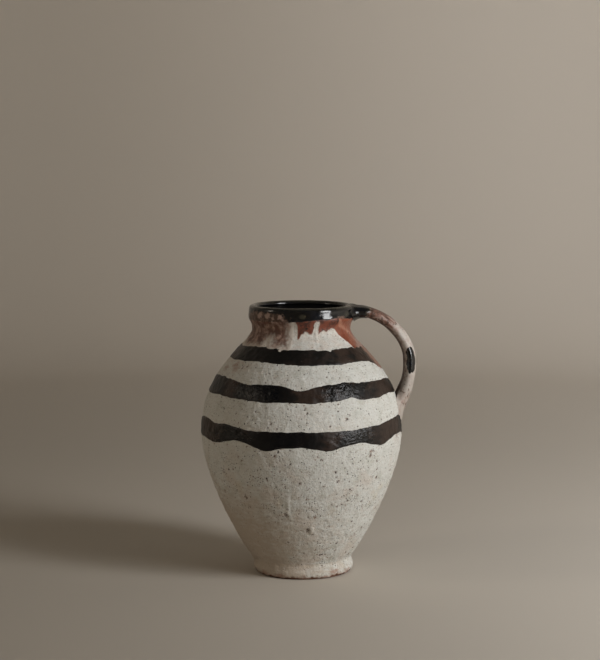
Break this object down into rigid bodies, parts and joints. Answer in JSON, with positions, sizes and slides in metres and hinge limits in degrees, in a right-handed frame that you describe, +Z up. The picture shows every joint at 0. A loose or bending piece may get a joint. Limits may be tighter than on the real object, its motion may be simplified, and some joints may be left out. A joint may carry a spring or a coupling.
{
  "type": "hydria jar",
  "caption": "Footed ceramic jar with a full belly, short neck, collar rim and one strap handle, in white slip with dark brushed bands and a dark glazed rim.",
  "frame": {"origin": "on the jar's axis, in the plane of the foot ring's underside", "axes": "+Z up along the jar's axis, +X toward the handle, -Y toward the pictured front"},
  "size_m": [0.2412, 0.2262, 0.3],
  "materials": {
    "clay": "matte",
    "white_slip": "matte",
    "band_glaze": "satin",
    "iron_wash": "satin",
    "dark_glaze": "gloss"
  },
  "bodies": {
    "root": {"foot_ring": "clay", "lower_body": "clay", "shoulder": "clay", "neck": "clay", "rim_collar": "clay", "handle": "clay", "upper_handle_coil": "clay", "lower_handle_coil": "clay", "body_slip": "white_slip", "foot_slip": "white_slip", "handle_slip": "white_slip", "upper_band": "band_glaze", "middle_band": "band_glaze", "lower_band": "band_glaze", "neck_wash": "iron_wash", "rim_glaze": "dark_glaze", "liner_glaze": "dark_glaze", "handle_root_glaze": "dark_glaze", "handle_patch": "dark_glaze"}
  },
  "joints": []
}
